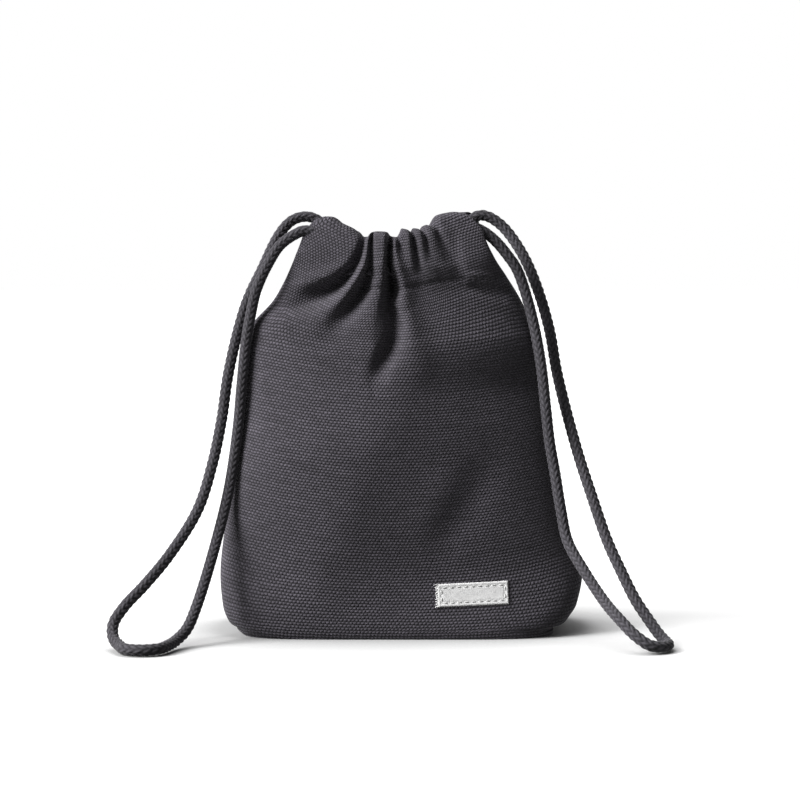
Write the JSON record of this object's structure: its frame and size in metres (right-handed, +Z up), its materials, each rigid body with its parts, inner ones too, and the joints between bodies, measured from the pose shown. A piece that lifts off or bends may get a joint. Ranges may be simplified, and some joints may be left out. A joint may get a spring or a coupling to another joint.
{
  "type": "drawstring treat pouch",
  "caption": "Small canvas pouch with a boxed base that stands by itself and a gathered neck, closed by braided cords that leave as a loop on each side.",
  "frame": {"origin": "on the table, under the middle of the pouch's base", "axes": "+Z up, +X to the right of someone facing the front, -Y out of the front with the label"},
  "size_m": [0.208, 0.1056, 0.162],
  "materials": {
    "canvas": "matte plain-weave cotton canvas",
    "lining": "smooth matte lining cloth",
    "cord": "matte braided cotton",
    "label": "matte woven tape"
  },
  "bodies": {
    "pouch": {"front_panel": "canvas", "back_panel": "canvas", "front_lining": "lining", "back_lining": "lining", "front_casing": "canvas", "back_casing": "canvas", "label": "label", "left_drawcord_crossing": "cord", "right_drawcord_crossing": "cord"},
    "left_drawcord": {"left_drawcord_front_run": "cord", "left_drawcord_back_run": "cord"},
    "left_loop": {"left_drawcord_loop": "cord"},
    "right_drawcord": {"right_drawcord_front_run": "cord", "right_drawcord_back_run": "cord"},
    "right_loop": {"right_drawcord_loop": "cord"}
  },
  "joints": [
    {"name": "left_cord_pull", "type": "slide", "parent": "pouch", "child": "left_drawcord", "axis": [-0.9835, 0, 0.1809], "range_m": [0, 0.013]},
    {"name": "left_loop_swing", "type": "hinge", "parent": "left_drawcord", "child": "left_loop", "pos_m": [-0.03846, 0, 0.15812], "axis": [0, 0.9775, 0.2108], "range_deg": [0, 110]},
    {"name": "right_cord_pull", "type": "slide", "parent": "pouch", "child": "right_drawcord", "axis": [0.9835, 0, 0.1809], "range_m": [0, 0.013]},
    {"name": "right_loop_swing", "type": "hinge", "parent": "right_drawcord", "child": "right_loop", "pos_m": [0.03346, 0, 0.15818], "axis": [0, -0.95, -0.3122], "range_deg": [0, 110]}
  ]
}
